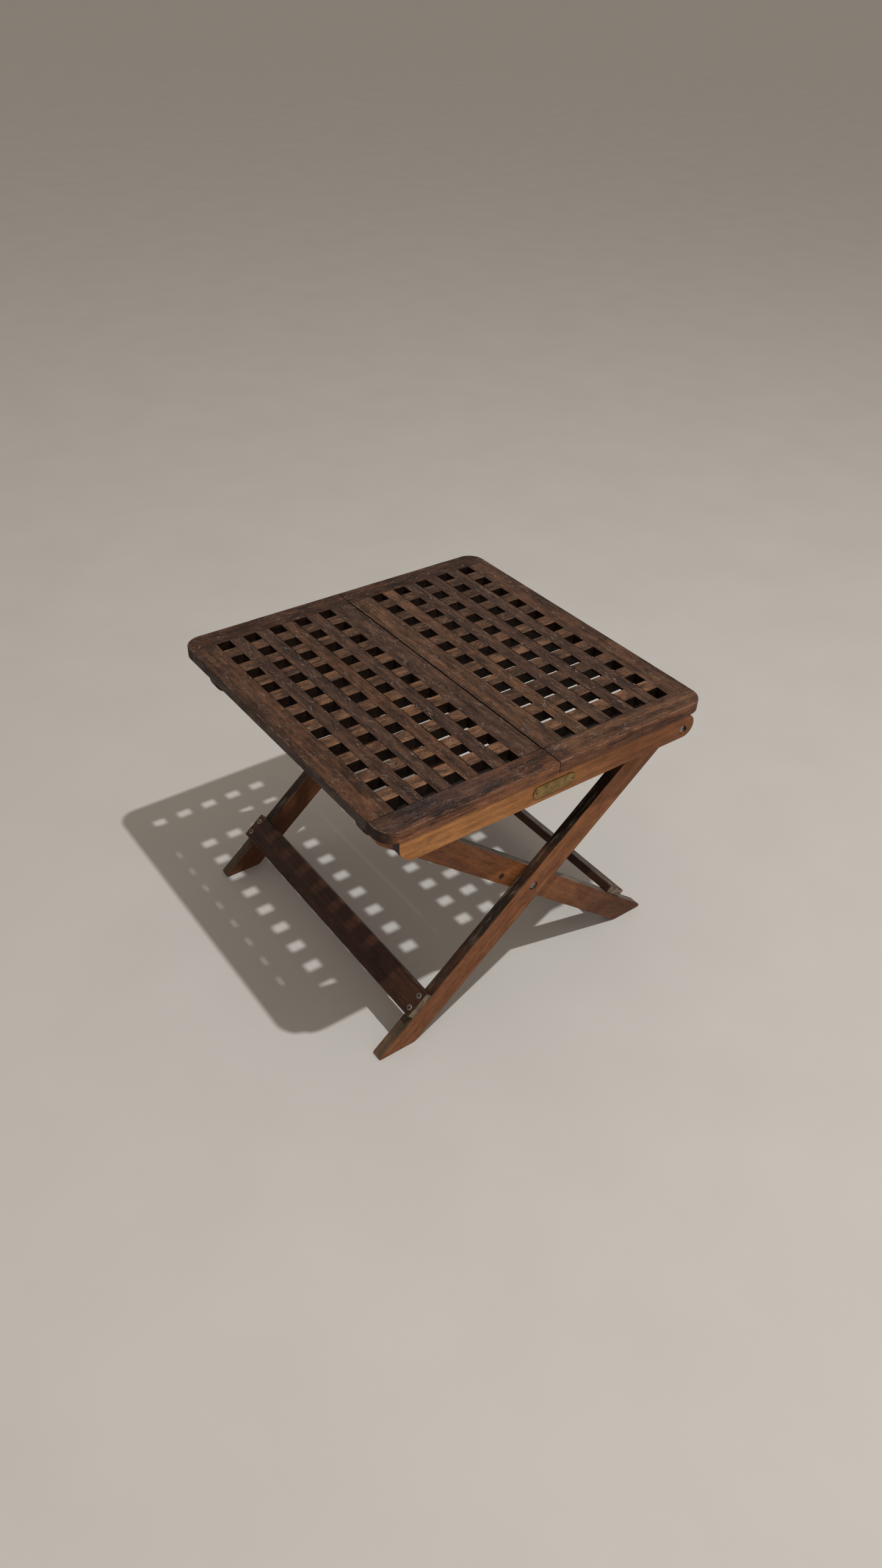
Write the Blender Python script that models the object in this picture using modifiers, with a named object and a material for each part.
"""Folding table with a two-leaf grating top on crossed wooden legs.

Run with:  blender --background --python part.py   (or from the Text Editor)

Frame: metres, +Z up, origin on the floor under the middle of the top.
X runs along the aprons, Y runs along the joint between the two leaves.
"near" pieces are on the -Y side and "far" pieces on the +Y side.
The table stands open. The outer leg frame swings on bolts at the right-hand
end of the aprons, the inner leg frame swings on bolts through the crossing,
and a rod through the tops of the inner legs slides along two runners and
seats in two hooked cleats at their left-hand ends.
"""
import bpy
import bmesh
from math import atan2, cos, hypot, pi, radians, sin, tan
from mathutils import Matrix, Vector

# ---------------------------------------------------------------- dimensions
GAP = 0.0003                 # clearance between pieces that touch

TOP_HEIGHT = 0.410           # floor to the upper face
TOP_WIDTH = 0.502            # both leaves, along X
TOP_DEPTH = 0.500            # along Y
LEAF_THICKNESS = 0.0165
LEAF_JOINT = 0.001           # gap between the two leaves at their rails
STILE_SETBACK = 0.0004       # inner stiles stand back from the rail ends
CORNER_RADIUS = 0.025

HOLE = 0.020                 # square holes of the grating
HOLE_COLUMNS = 5             # in each leaf
HOLE_ROWS = 11
COLUMN_PITCH = 0.0401
ROW_PITCH = 0.0411
FIRST_COLUMN = 0.0447        # centre of the column nearest the leaf joint
LONG_SLAT_THICKNESS = 0.004  # thin strips let into the tops of the deep cross slats

TENON_THICKNESS = 0.006
TONGUE_THICKNESS = 0.002     # on the ends of the long slats, level with their lower faces
SLAT_TENON_LENGTH = 0.008
SLAT_TENON_WIDTH = 0.014
STILE_TENON_LENGTH = 0.024
STILE_TENON_WIDTH = 0.022

APRON_THICKNESS = 0.015
APRON_HEIGHT = 0.0337
APRON_FACE = 0.2485          # outer face, from the centre plane
APRON_LEFT = -0.231
APRON_RIGHT = 0.236
APRON_TOE_RADIUS = 0.023     # lower corner of the left-hand end

LEG_THICKNESS = 0.016
OUTER_LEG_FACE = 0.224       # outer faces of the leg frames
INNER_LEG_FACE = 0.205
OUTER_LEG_WIDTH = 0.040
INNER_LEG_WIDTH = 0.037
OUTER_LEG_SLOPE = radians(40.3)
INNER_LEG_SLOPE = radians(39.9)
FOOT_TIP_RADIUS = 0.0032
FOOT_HEEL_RADIUS = 0.012

CROSSING = Vector((0.004, 0.187))     # x and z of the centre pivot
APRON_PIVOT = Vector((0.217, 0.3715))  # x and z of the apron pivot
ROD_CENTRE = Vector((2 * CROSSING.x - APRON_PIVOT.x, APRON_PIVOT.y))

OUTER_STRETCHER_FROM = 0.197  # along the leg, from the crossing
OUTER_STRETCHER_TO = 0.237
INNER_STRETCHER_FROM = 0.204
INNER_STRETCHER_TO = 0.242
STRETCHER_THICKNESS = 0.012

INNER_LEG_TOP_END = 0.3025   # along the inner leg, from the crossing
INNER_LEG_TOE_RADIUS = 0.016
HEAD_CLEARANCE = 0.0010      # above the inner leg's top end
HEAD_RADIUS = 0.004          # its right-hand upper corner
BROW_RADIUS = 0.014          # its left-hand one, which passes under the leaf as the legs close

ROD_RADIUS = 0.008
SEAT_CLEARANCE = 0.0005      # between the rod and its seat
RUNNER_THICKNESS = 0.014
RUNNER_RIGHT = 0.235
CLEAT_LEFT = -0.242
CLEAT_RIGHT = -0.197
CLEAT_BOTTOM = 0.358
CLEAT_TOE_RADIUS = 0.024

BOLT_RADIUS = 0.0037
BOLT_HOLE_RADIUS = 0.0040
BOLT_HEAD_RADIUS = 0.0060
BOLT_HEAD_THICKNESS = 0.0038
BOLT_HEAD_INSET = 0.0014
NUT_RADIUS = 0.0061
NUT_THICKNESS = 0.0048
RECESS_RADIUS = 0.0065
RECESS_DEPTH = 0.0055
SLOT_WIDTH = 0.0014
SLOT_DEPTH = 0.0014
SPACER_RADIUS = 0.0095

PLATE_LENGTH = 0.066
PLATE_HEIGHT = 0.017
PLATE_THICKNESS = 0.001
PLATE_CENTRE = Vector((-0.005, 0.3765))

ARC_STEPS = 12               # segments in a quarter turn
TURN_STEPS = 24              # segments round a turned piece

UNDERSIDE = TOP_HEIGHT - LEAF_THICKNESS
MID_LEAF = TOP_HEIGHT - LEAF_THICKNESS / 2
LONG_SLAT_BOTTOM = TOP_HEIGHT - LONG_SLAT_THICKNESS
TENON_BAND = (MID_LEAF - TENON_THICKNESS / 2, MID_LEAF + TENON_THICKNESS / 2)
TONGUE_BAND = (LONG_SLAT_BOTTOM, LONG_SLAT_BOTTOM + TONGUE_THICKNESS)
HALF_WIDTH = TOP_WIDTH / 2
HALF_DEPTH = TOP_DEPTH / 2
LAST_COLUMN = FIRST_COLUMN + (HOLE_COLUMNS - 1) * COLUMN_PITCH
LAST_ROW = (HOLE_ROWS - 1) / 2 * ROW_PITCH
RAIL_INNER = LAST_ROW + HOLE / 2          # y of a rail's inner edge
STILE_INNER = FIRST_COLUMN - HOLE / 2     # x of the inner stile's grating edge
STILE_OUTER = LAST_COLUMN + HOLE / 2      # x of the outer stile's grating edge
SLAT_WIDTH = COLUMN_PITCH - HOLE
CROSS_WIDTH = ROW_PITCH - HOLE

LEAVES = {"left": -1, "right": 1}
SIDES = {"near": -1, "far": 1}

# ---------------------------------------------------------------- materials
WOOD_TOP = ("top_teak", (0.090, 0.048, 0.030), 0.55, 0.0)
WOOD_SLAT = ("slat_teak", (0.105, 0.062, 0.045), 0.60, 0.0)
WOOD_CROSS = ("cross_slat_teak", (0.150, 0.082, 0.048), 0.60, 0.0)
WOOD_APRON = ("apron_teak", (0.230, 0.100, 0.042), 0.50, 0.0)
WOOD_LEG = ("leg_teak", (0.180, 0.075, 0.038), 0.50, 0.0)
WOOD_DARK = ("stretcher_teak", (0.060, 0.030, 0.020), 0.50, 0.0)
BRASS = ("dull_brass", (0.300, 0.230, 0.100), 0.40, 1.0)
STEEL = ("dull_steel", (0.420, 0.400, 0.360), 0.40, 1.0)


def material(spec):
    """Return the material that a spec (name, colour, roughness, metallic) describes."""
    name, colour, roughness, metallic = spec
    found = bpy.data.materials.get(name)
    if found:
        return found
    made = bpy.data.materials.new(name)
    made.use_nodes = True
    shader = made.node_tree.nodes["Principled BSDF"]
    shader.inputs["Base Color"].default_value = (*colour, 1.0)
    shader.inputs["Roughness"].default_value = roughness
    shader.inputs["Metallic"].default_value = metallic
    return made


# ---------------------------------------------------------------- outlines
def arc(centre, radius, start, end, steps=ARC_STEPS):
    """Points along an arc; angles in degrees, counter-clockwise from +X."""
    count = max(2, round(abs(end - start) / 90 * steps))
    angles = [radians(start + (end - start) * k / count) for k in range(count + 1)]
    return [Vector((centre[0] + radius * cos(a), centre[1] + radius * sin(a))) for a in angles]


def fillet(before, corner, after, radius):
    """Replace a corner of a straight-sided outline with a tangent arc."""
    to_before = (before - corner).normalized()
    to_after = (after - corner).normalized()
    half = to_before.angle(to_after) / 2
    centre = corner + (to_before + to_after).normalized() * (radius / sin(half))
    first = corner + to_before * (radius / tan(half)) - centre
    last = corner + to_after * (radius / tan(half)) - centre
    turn = first.angle_signed(last)
    count = max(2, round(abs(turn) / (pi / 2) * ARC_STEPS))
    start = atan2(first.y, first.x)
    return [centre + radius * Vector((cos(start - turn * k / count), sin(start - turn * k / count)))
            for k in range(count + 1)]


def rounded(corners):
    """Outline from (point, radius) corners; radius 0 keeps a corner sharp."""
    points = []
    for index, (corner, radius) in enumerate(corners):
        before = corners[index - 1][0]
        after = corners[(index + 1) % len(corners)][0]
        points += fillet(before, corner, after, radius) if radius else [corner]
    return points


# ---------------------------------------------------------------- making
def clear_scene():
    for leftover in list(bpy.data.objects):
        bpy.data.objects.remove(leftover, do_unlink=True)


def new_collection(name):
    found = bpy.data.collections.get(name) or bpy.data.collections.new(name)
    if found.name not in bpy.context.scene.collection.children:
        bpy.context.scene.collection.children.link(found)
    return found


def add_object(name, mesh, collection, spec=None, matrix=None):
    made = bpy.data.objects.new(name, mesh)
    collection.objects.link(made)
    if matrix:
        made.matrix_world = matrix
    if spec:
        mesh.materials.append(material(spec))
    return made


def box_mesh(name, low, high):
    """A box between two corners, with its mesh in world coordinates."""
    size = Vector(high) - Vector(low)
    middle = (Vector(high) + Vector(low)) / 2
    bm = bmesh.new()
    bmesh.ops.create_cube(bm, size=1.0)
    bmesh.ops.scale(bm, vec=size, verts=bm.verts)
    bmesh.ops.translate(bm, vec=middle, verts=bm.verts)
    mesh = bpy.data.meshes.new(name)
    bm.to_mesh(mesh)
    bm.free()
    return mesh


def box(name, low, high, spec):
    return add_object(name, box_mesh(name, low, high), PARTS, spec)


UPRIGHT = Matrix.Rotation(pi / 2, 4, "X")     # outline XY becomes world XZ


def slab(name, outline, middle, thickness, spec, upright=True):
    """A flat outline with thickness.

    An upright slab has its outline in XZ and is centred on y = middle; a
    level one has its outline in XY and is centred on z = middle.
    """
    curve = bpy.data.curves.new(name + "_outline", "CURVE")
    curve.dimensions = "2D"
    curve.fill_mode = "BOTH"
    curve.extrude = thickness / 2
    spline = curve.splines.new("POLY")
    spline.points.add(len(outline) - 1)
    for point, place in zip(spline.points, outline):
        point.co = (place[0], place[1], 0.0, 1.0)
    spline.use_cyclic_u = True
    drawn = bpy.data.objects.new(name + "_outline", curve)
    PARTS.objects.link(drawn)
    if upright:
        drawn.matrix_world = Matrix.Translation((0, middle, 0)) @ UPRIGHT
    else:
        drawn.matrix_world = Matrix.Translation((0, 0, middle))
    bpy.context.view_layer.update()
    evaluated = drawn.evaluated_get(bpy.context.evaluated_depsgraph_get())
    mesh = bpy.data.meshes.new_from_object(evaluated)
    mesh.transform(drawn.matrix_world)
    bpy.data.objects.remove(drawn, do_unlink=True)
    bm = bmesh.new()
    bm.from_mesh(mesh)
    bmesh.ops.remove_doubles(bm, verts=bm.verts, dist=1e-6)
    bmesh.ops.recalc_face_normals(bm, faces=bm.faces)
    bm.to_mesh(mesh)
    bm.free()
    mesh.name = name
    mesh.materials.clear()
    return add_object(name, mesh, PARTS, spec)


def turned(name, profile, place, side, spec):
    """A turned piece on an axis along Y.

    The profile lists (radius, depth) down the outer side; depth runs from
    the outside of the table towards its middle, starting at y = place.
    """
    mesh = bpy.data.meshes.new(name)
    points = [(radius, 0.0, -depth) for radius, depth in profile]
    mesh.from_pydata(points, [(k, k + 1) for k in range(len(points) - 1)], [])
    outward = Matrix.Rotation(-side * pi / 2, 4, "X")   # local +Z points out of the table
    made = add_object(name, mesh, PARTS, spec,
                      Matrix.Translation((place[0], side * place[1], place[2])) @ outward)
    screw = made.modifiers.new("turn", "SCREW")
    screw.axis = "Z"
    screw.angle = 2 * pi
    screw.steps = TURN_STEPS
    screw.render_steps = TURN_STEPS
    screw.use_merge_vertices = True
    screw.merge_threshold = 0.00005
    screw.use_smooth_shade = True
    return made


def cylinder_cutter(name, x, z, y_from, y_to, radius):
    bm = bmesh.new()
    bmesh.ops.create_cone(bm, cap_ends=True, segments=TURN_STEPS, radius1=radius,
                          radius2=radius, depth=abs(y_to - y_from))
    mesh = bpy.data.meshes.new(name)
    bm.to_mesh(mesh)
    bm.free()
    place = Matrix.Translation((x, (y_from + y_to) / 2, z)) @ UPRIGHT
    return add_cutter(name, mesh, place)


def add_cutter(name, mesh, matrix=None):
    made = add_object(name, mesh, CUTTERS, matrix=matrix)
    made.hide_render = True
    made.display_type = "WIRE"
    return made


def box_cutter(name, low, high):
    return add_cutter(name, box_mesh(name, low, high))


def cut(piece, cutters):
    for index, cutter in enumerate(cutters):
        step = piece.modifiers.new(f"cut_{index}", "BOOLEAN")
        step.operation = "DIFFERENCE"
        step.solver = "EXACT"
        step.object = cutter


def joined_boxes(name, boxes):
    """One cutter made of several separate boxes."""
    bm = bmesh.new()
    for low, high in boxes:
        part = box_mesh(name + "_part", low, high)
        bm.from_mesh(part)
        bpy.data.meshes.remove(part)
    mesh = bpy.data.meshes.new(name)
    bm.to_mesh(mesh)
    bm.free()
    return add_cutter(name, mesh)


# ---------------------------------------------------------------- the leaves
def column(number):
    """x distance from the table's middle of a column of holes, 0 being innermost."""
    return FIRST_COLUMN + number * COLUMN_PITCH


def row(number):
    """y of a row of holes, 0 being nearest."""
    return number * ROW_PITCH - LAST_ROW


def slat_positions():
    return [column(k) + COLUMN_PITCH / 2 for k in range(HOLE_COLUMNS - 1)]


def cross_positions():
    return [row(k) + ROW_PITCH / 2 for k in range(HOLE_ROWS - 1)]


def sorted_box(x0, x1, y0, y1, z0, z1):
    return (min(x0, x1), min(y0, y1), z0), (max(x0, x1), max(y0, y1), z1)


def mortise_band(band):
    """Lowest and highest z of the mortise for a tenon's band."""
    return band[0] - GAP, band[1] + GAP


def rail(leaf, hand, side, edge):
    """A full-length rail with one rounded corner, mortised for slats and stiles."""
    inner_x = hand * LEAF_JOINT / 2
    outer_x = hand * HALF_WIDTH
    outer_y = edge * HALF_DEPTH
    inner_y = edge * RAIL_INNER
    outline = rounded([
        (Vector((inner_x, inner_y)), 0),
        (Vector((outer_x, inner_y)), 0),
        (Vector((outer_x, outer_y)), CORNER_RADIUS),
        (Vector((inner_x, outer_y)), 0),
    ])
    piece = slab(f"{leaf}_leaf_rail_{side}", outline, MID_LEAF, LEAF_THICKNESS, WOOD_TOP, upright=False)
    mortises = []
    for centres, width, length, band in (
            (slat_positions(), SLAT_TENON_WIDTH, SLAT_TENON_LENGTH, TONGUE_BAND),
            (stile_centres(), STILE_TENON_WIDTH, STILE_TENON_LENGTH, TENON_BAND)):
        half = width / 2 + GAP
        deep = edge * (RAIL_INNER + length + GAP)
        mortises += [sorted_box(hand * x - half, hand * x + half, inner_y - edge * 0.001, deep,
                                *mortise_band(band)) for x in centres]
    cut(piece, [joined_boxes(f"{piece.name}_mortises", mortises)])


def stile_centres():
    inner = (LEAF_JOINT / 2 + STILE_SETBACK + STILE_INNER) / 2
    outer = (STILE_OUTER + HALF_WIDTH) / 2
    return [inner, outer]


def tenoned_bar(name, centre, half_length, half_width, tenon, spec, along_y, bottom=UNDERSIDE):
    """A straight bar flush with the leaf's upper face, with a tenon (length, width, band) on both ends."""
    tenon_length, tenon_width, band = tenon
    bite = 0.002                         # how far a tenon's block starts inside the bar

    def block(from_length, to_length, width, z0, z1):
        if along_y:
            return sorted_box(centre[0] - width, centre[0] + width,
                              centre[1] + from_length, centre[1] + to_length, z0, z1)
        return sorted_box(centre[0] + from_length, centre[0] + to_length,
                          centre[1] - width, centre[1] + width, z0, z1)

    piece = box(name, *block(-half_length, half_length, half_width, bottom, TOP_HEIGHT), spec)
    tenons = [block(end * (half_length - bite), end * (half_length + tenon_length), tenon_width / 2, *band)
              for end in (-1, 1)]
    step = piece.modifiers.new("tenons", "BOOLEAN")
    step.operation = "UNION"
    step.solver = "EXACT"
    step.object = joined_boxes(f"{name}_tenons", tenons)
    return piece


def stile(leaf, hand, name, inner_x, outer_x):
    centre = (hand * (inner_x + outer_x) / 2, 0.0)
    piece = tenoned_bar(f"{leaf}_leaf_stile_{name}", centre, RAIL_INNER - GAP, (outer_x - inner_x) / 2,
                        (STILE_TENON_LENGTH, STILE_TENON_WIDTH, TENON_BAND), WOOD_TOP, along_y=True)
    into = 1 if name == "outer" else -1
    face = inner_x if name == "outer" else outer_x
    half = SLAT_TENON_WIDTH / 2 + GAP
    deep = face + into * (SLAT_TENON_LENGTH + GAP)
    mortises = [sorted_box(hand * (face - into * 0.001), hand * deep, y - half, y + half,
                           *mortise_band(TENON_BAND)) for y in cross_positions()]
    cut(piece, [joined_boxes(f"{piece.name}_mortises", mortises)])


def long_slat(leaf, hand, number, x):
    """A thin strip along Y, laid in the notches of the cross slats, with a tongue into each rail."""
    tenoned_bar(f"{leaf}_leaf_slat_{number}", (hand * x, 0.0), RAIL_INNER - GAP, SLAT_WIDTH / 2,
                (SLAT_TENON_LENGTH, SLAT_TENON_WIDTH, TONGUE_BAND), WOOD_SLAT, along_y=True,
                bottom=LONG_SLAT_BOTTOM)


def cross_slat(leaf, hand, number, y):
    """A deep slat along X, notched above for each long slat."""
    middle = hand * (STILE_INNER + STILE_OUTER) / 2
    half_length = (STILE_OUTER - STILE_INNER) / 2 - GAP
    piece = tenoned_bar(f"{leaf}_leaf_cross_{number}", (middle, y), half_length, CROSS_WIDTH / 2 - GAP / 2,
                        (SLAT_TENON_LENGTH, SLAT_TENON_WIDTH, TENON_BAND), WOOD_CROSS, along_y=False)
    side = CROSS_WIDTH / 2 + 0.001
    half = SLAT_WIDTH / 2 + GAP
    notches = [sorted_box(hand * x - half, hand * x + half, y - side, y + side,
                          LONG_SLAT_BOTTOM - GAP, TOP_HEIGHT + 0.001) for x in slat_positions()]
    cut(piece, [joined_boxes(f"{piece.name}_notches", notches)])


def leaf_of_top(leaf, hand):
    for side, edge in SIDES.items():
        rail(leaf, hand, side, edge)
    stile(leaf, hand, "inner", LEAF_JOINT / 2 + STILE_SETBACK, STILE_INNER)
    stile(leaf, hand, "outer", STILE_OUTER, HALF_WIDTH)
    for number, x in enumerate(slat_positions(), 1):
        long_slat(leaf, hand, number, x)
    for number, y in enumerate(cross_positions(), 1):
        cross_slat(leaf, hand, number, y)


# ---------------------------------------------------------------- aprons
def apron(side, edge):
    top = UNDERSIDE - GAP
    bottom = top - APRON_HEIGHT
    nose = APRON_HEIGHT / 2
    outline = rounded([
        (Vector((APRON_LEFT, top)), 0),
        (Vector((APRON_LEFT, bottom)), APRON_TOE_RADIUS),
        (Vector((APRON_RIGHT, bottom)), nose * 0.999),
        (Vector((APRON_RIGHT, top)), nose * 0.999),
    ])
    middle = edge * (APRON_FACE - APRON_THICKNESS / 2)
    piece = slab(f"apron_{side}", outline, middle, APRON_THICKNESS, WOOD_APRON)
    pivot_x, pivot_z = APRON_PIVOT
    back = APRON_FACE - APRON_THICKNESS
    hole = cylinder_cutter(f"apron_{side}_hole", pivot_x, pivot_z,
                           edge * (back - 0.001), edge * (APRON_FACE + 0.001), BOLT_HOLE_RADIUS)
    recess = cylinder_cutter(f"apron_{side}_recess", pivot_x, pivot_z,
                             edge * (APRON_FACE - RECESS_DEPTH), edge * (APRON_FACE + 0.001), RECESS_RADIUS)
    cut(piece, [hole, recess])


def name_plate():
    """A blank stadium-shaped plate on the near apron."""
    x, z = PLATE_CENTRE
    radius = PLATE_HEIGHT / 2
    reach = PLATE_LENGTH / 2 - radius
    outline = arc((x + reach, z), radius, -90, 90) + arc((x - reach, z), radius, 90, 270)
    slab("name_plate", outline, -(APRON_FACE + GAP + PLATE_THICKNESS / 2), PLATE_THICKNESS, BRASS)


# ---------------------------------------------------------------- legs
def along_leg(slope, hand, distance, offset):
    """A point on a leg: distance up the leg from the crossing, offset towards its upper edge.

    hand is 1 for a leg that rises to the right and -1 for one that rises to the left.
    """
    direction = Vector((hand * cos(slope), sin(slope)))
    across = Vector((-hand * sin(slope), cos(slope)))
    return CROSSING + direction * distance + across * offset


def foot_corners(slope, hand, width):
    """Where a leg's two edges reach the floor: upper edge first, then lower edge."""
    corners = []
    for offset in (width / 2, -width / 2):
        start = along_leg(slope, hand, 0.0, offset)
        corners.append(Vector((start.x - hand * start.y / tan(slope), 0.0)))
    return corners


def outer_leg(side, edge):
    """Round at the top round the apron pivot, cut level at the floor."""
    half = OUTER_LEG_WIDTH / 2
    reach = hypot(*(APRON_PIVOT - CROSSING))
    tip, heel = foot_corners(OUTER_LEG_SLOPE, 1, OUTER_LEG_WIDTH)
    outline = rounded([
        (tip, FOOT_TIP_RADIUS),
        (heel, FOOT_HEEL_RADIUS),
        (along_leg(OUTER_LEG_SLOPE, 1, reach + half, -half), half * 0.999),
        (along_leg(OUTER_LEG_SLOPE, 1, reach + half, half), half * 0.999),
    ])
    middle = edge * (OUTER_LEG_FACE - LEG_THICKNESS / 2)
    piece = slab(f"outer_leg_{side}", outline, middle, LEG_THICKNESS, WOOD_LEG)
    inside = OUTER_LEG_FACE - LEG_THICKNESS
    cutters = []
    for label, (x, z), recess_from, recess_to in (
            ("apron", APRON_PIVOT, inside - 0.001, inside + RECESS_DEPTH),
            ("centre", CROSSING, OUTER_LEG_FACE + 0.001, OUTER_LEG_FACE - RECESS_DEPTH)):
        cutters.append(cylinder_cutter(f"{piece.name}_{label}_hole", x, z, edge * (inside - 0.001),
                                       edge * (OUTER_LEG_FACE + 0.001), BOLT_HOLE_RADIUS))
        cutters.append(cylinder_cutter(f"{piece.name}_{label}_recess", x, z, edge * recess_from,
                                       edge * recess_to, RECESS_RADIUS))
    cut(piece, cutters)


def inner_leg(side, edge):
    """Top end rounded below and cut to pass under the leaf, with a hole for the rod."""
    half = INNER_LEG_WIDTH / 2
    tip, heel = foot_corners(INNER_LEG_SLOPE, -1, INNER_LEG_WIDTH)
    ceiling = UNDERSIDE - HEAD_CLEARANCE
    upper_edge = along_leg(INNER_LEG_SLOPE, -1, 0.0, half)
    run = (ceiling - upper_edge.y) / tan(INNER_LEG_SLOPE)
    head = Vector((upper_edge.x - run, ceiling))
    end_upper = along_leg(INNER_LEG_SLOPE, -1, INNER_LEG_TOP_END, half)
    end_lower = along_leg(INNER_LEG_SLOPE, -1, INNER_LEG_TOP_END, -half)
    end_line = (end_upper - end_lower).normalized()
    brow = end_lower + end_line * ((ceiling - end_lower.y) / end_line.y)
    outline = rounded([
        (tip, FOOT_TIP_RADIUS),
        (head, HEAD_RADIUS),
        (brow, BROW_RADIUS),
        (end_lower, INNER_LEG_TOE_RADIUS),
        (heel, FOOT_HEEL_RADIUS),
    ])
    middle = edge * (INNER_LEG_FACE - LEG_THICKNESS / 2)
    piece = slab(f"inner_leg_{side}", outline, middle, LEG_THICKNESS, WOOD_LEG)
    inside = INNER_LEG_FACE - LEG_THICKNESS
    through = (edge * (inside - 0.001), edge * (INNER_LEG_FACE + 0.001))
    hole = cylinder_cutter(f"{piece.name}_centre_hole", *CROSSING, *through, BOLT_HOLE_RADIUS)
    recess = cylinder_cutter(f"{piece.name}_centre_recess", *CROSSING, edge * (inside - 0.001),
                             edge * (inside + RECESS_DEPTH), RECESS_RADIUS)
    rod_hole = cylinder_cutter(f"{piece.name}_rod_hole", *ROD_CENTRE, *through, ROD_RADIUS + GAP)
    cut(piece, [hole, recess, rod_hole])


def stretcher(name, slope, hand, near_end, far_end, leg_half_width, half_length):
    """A flat board lying on the upper edges of a pair of legs, near their feet."""
    low = leg_half_width + GAP
    high = low + STRETCHER_THICKNESS
    outline = [along_leg(slope, hand, -near_end, low), along_leg(slope, hand, -far_end, low),
               along_leg(slope, hand, -far_end, high), along_leg(slope, hand, -near_end, high)]
    slab(name, outline, 0.0, 2 * half_length, WOOD_DARK)


# ---------------------------------------------------------------- rod, cleats and runners
def rod():
    half_length = INNER_LEG_FACE - GAP
    bm = bmesh.new()
    bmesh.ops.create_cone(bm, cap_ends=True, segments=TURN_STEPS, radius1=ROD_RADIUS,
                          radius2=ROD_RADIUS, depth=2 * half_length)
    mesh = bpy.data.meshes.new("top_rod")
    bm.to_mesh(mesh)
    bm.free()
    mesh.shade_smooth()
    mesh.set_sharp_from_angle(angle=radians(40))
    place = Matrix.Translation((ROD_CENTRE.x, 0.0, ROD_CENTRE.y)) @ UPRIGHT
    add_object("top_rod", mesh, PARTS, WOOD_LEG, place)


def cleat(side, edge):
    """A block under the left leaf with a hook that the rod seats in."""
    seat = ROD_RADIUS + SEAT_CLEARANCE
    top = UNDERSIDE - GAP
    x, z = ROD_CENTRE
    outline = [Vector((CLEAT_LEFT, top))]
    outline += fillet(Vector((CLEAT_LEFT, top)), Vector((CLEAT_LEFT, CLEAT_BOTTOM)),
                      Vector((x - seat, CLEAT_BOTTOM)), CLEAT_TOE_RADIUS)
    outline += [Vector((x - seat, CLEAT_BOTTOM))]
    outline += arc((x, z), seat, 180, 90)
    outline += [Vector((CLEAT_RIGHT, z + seat)), Vector((CLEAT_RIGHT, top))]
    slab(f"rod_cleat_{side}", outline, edge * runner_middle(), RUNNER_THICKNESS, WOOD_APRON)


def runner(side, edge):
    """A batten under both leaves that carries on from the cleat and that the rod slides along."""
    low = ROD_CENTRE.y + ROD_RADIUS + SEAT_CLEARANCE
    high = UNDERSIDE - GAP
    outline = [Vector((CLEAT_RIGHT + GAP, low)), Vector((RUNNER_RIGHT, low)),
               Vector((RUNNER_RIGHT, high)), Vector((CLEAT_RIGHT + GAP, high))]
    slab(f"rod_runner_{side}", outline, edge * runner_middle(), RUNNER_THICKNESS, WOOD_APRON)


def runner_middle():
    """How far from the middle of the table a runner and its cleat stand, beside the inner leg."""
    return INNER_LEG_FACE - LEG_THICKNESS - SEAT_CLEARANCE - RUNNER_THICKNESS / 2


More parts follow.
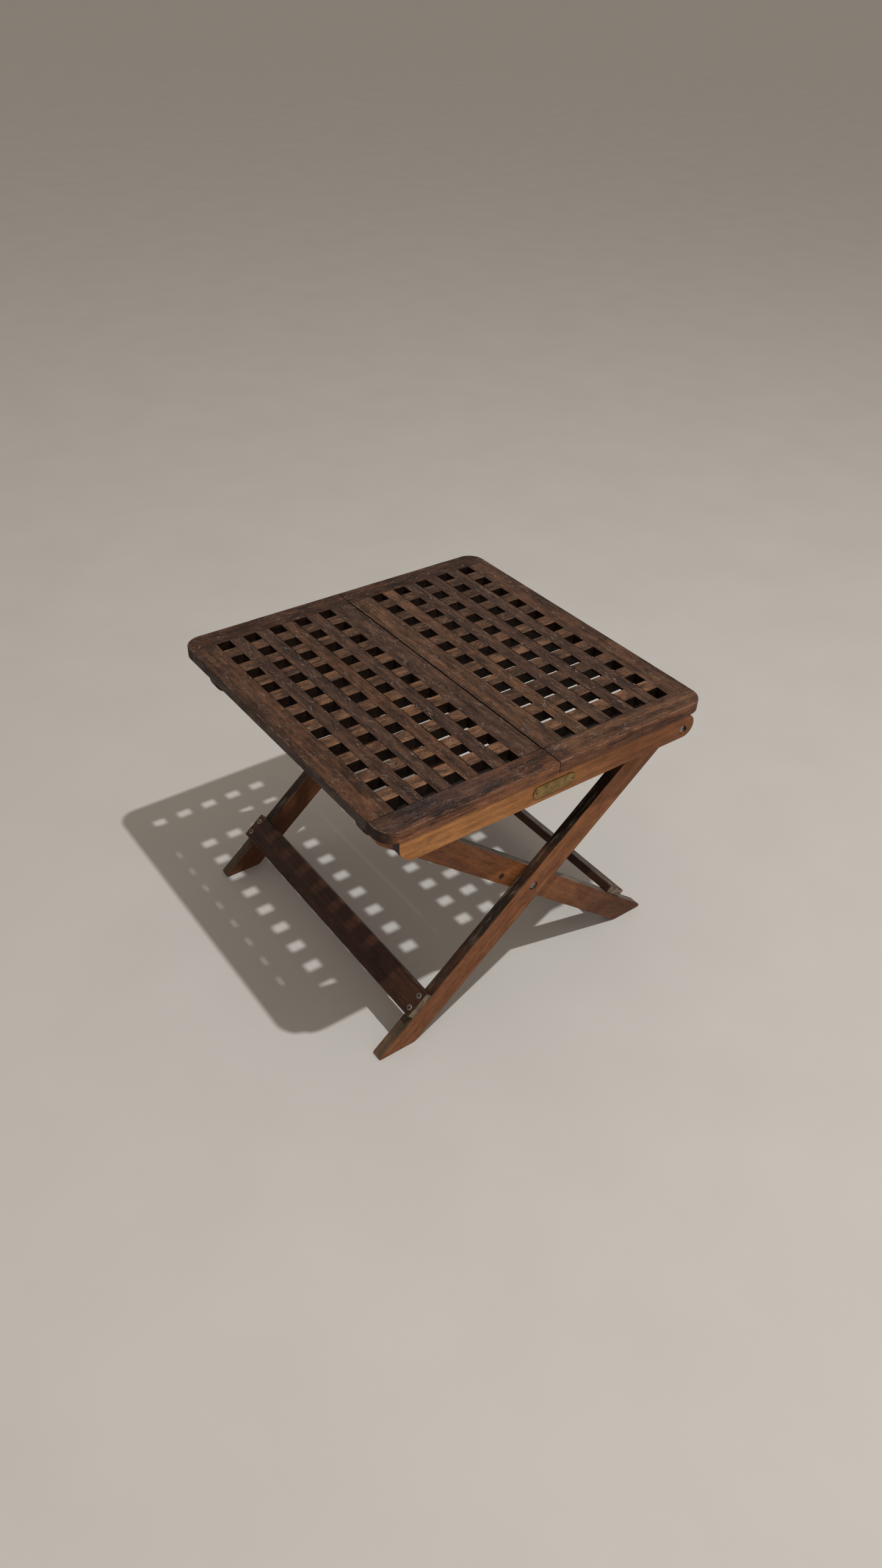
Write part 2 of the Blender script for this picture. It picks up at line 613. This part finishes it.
# ---------------------------------------------------------------- hardware
def bolt(name, place, side, length):
    """A slotted dome-headed bolt; place is the outer face of its head."""
    head, shank = BOLT_HEAD_RADIUS, BOLT_RADIUS
    profile = [(0.0, 0.0), (head * 0.55, 0.0002), (head * 0.9, 0.0009), (head, 0.0019),
               (head, BOLT_HEAD_THICKNESS), (shank, BOLT_HEAD_THICKNESS), (shank, length), (0.0, length)]
    piece = turned(name, profile, place, side, STEEL)
    x, y, z = place
    slot = box_cutter(f"{name}_slot", *sorted_box(x - head * 1.1, x + head * 1.1, side * (y - SLOT_DEPTH),
                                                 side * (y + 0.001), z - SLOT_WIDTH / 2, z + SLOT_WIDTH / 2))
    cut(piece, [slot])


def ring(name, place, side, outer, inner, length, spec):
    """A spacer or round nut."""
    profile = [(inner, 0.0), (outer, 0.0), (outer, length), (inner, length), (inner, 0.0)]
    turned(name, profile, place, side, spec)


def pivot_hardware(side, edge):
    outer_inside = OUTER_LEG_FACE - LEG_THICKNESS
    inner_inside = INNER_LEG_FACE - LEG_THICKNESS
    apron_back = APRON_FACE - APRON_THICKNESS
    end_inset = 0.0006
    for name, (x, z), face, inside in (
            ("apron_bolt", APRON_PIVOT, APRON_FACE, outer_inside),
            ("centre_bolt", CROSSING, OUTER_LEG_FACE, inner_inside)):
        head = face - BOLT_HEAD_INSET
        bolt(f"{name}_{side}", (x, head, z), edge, head - inside - end_inset)
        nut_face = inside + RECESS_DEPTH - GAP
        ring(f"{name}_nut_{side}", (x, nut_face, z), edge, NUT_RADIUS, BOLT_HOLE_RADIUS,
             NUT_THICKNESS, STEEL)
    x, z = APRON_PIVOT
    ring(f"apron_spacer_{side}", (x, apron_back - GAP, z), edge, SPACER_RADIUS, BOLT_HOLE_RADIUS,
         apron_back - OUTER_LEG_FACE - 2 * GAP, WOOD_DARK)


def build():
    for leaf, hand in LEAVES.items():
        leaf_of_top(leaf, hand)
    for side, edge in SIDES.items():
        apron(side, edge)
        outer_leg(side, edge)
        inner_leg(side, edge)
        cleat(side, edge)
        runner(side, edge)
        pivot_hardware(side, edge)
    name_plate()
    stretcher("outer_stretcher", OUTER_LEG_SLOPE, 1, OUTER_STRETCHER_FROM, OUTER_STRETCHER_TO,
              OUTER_LEG_WIDTH / 2, OUTER_LEG_FACE)
    stretcher("inner_stretcher", INNER_LEG_SLOPE, -1, INNER_STRETCHER_FROM, INNER_STRETCHER_TO,
              INNER_LEG_WIDTH / 2, INNER_LEG_FACE)
    rod()


clear_scene()
PARTS = new_collection("folding_table")
CUTTERS = new_collection("folding_table_cutters")
build()
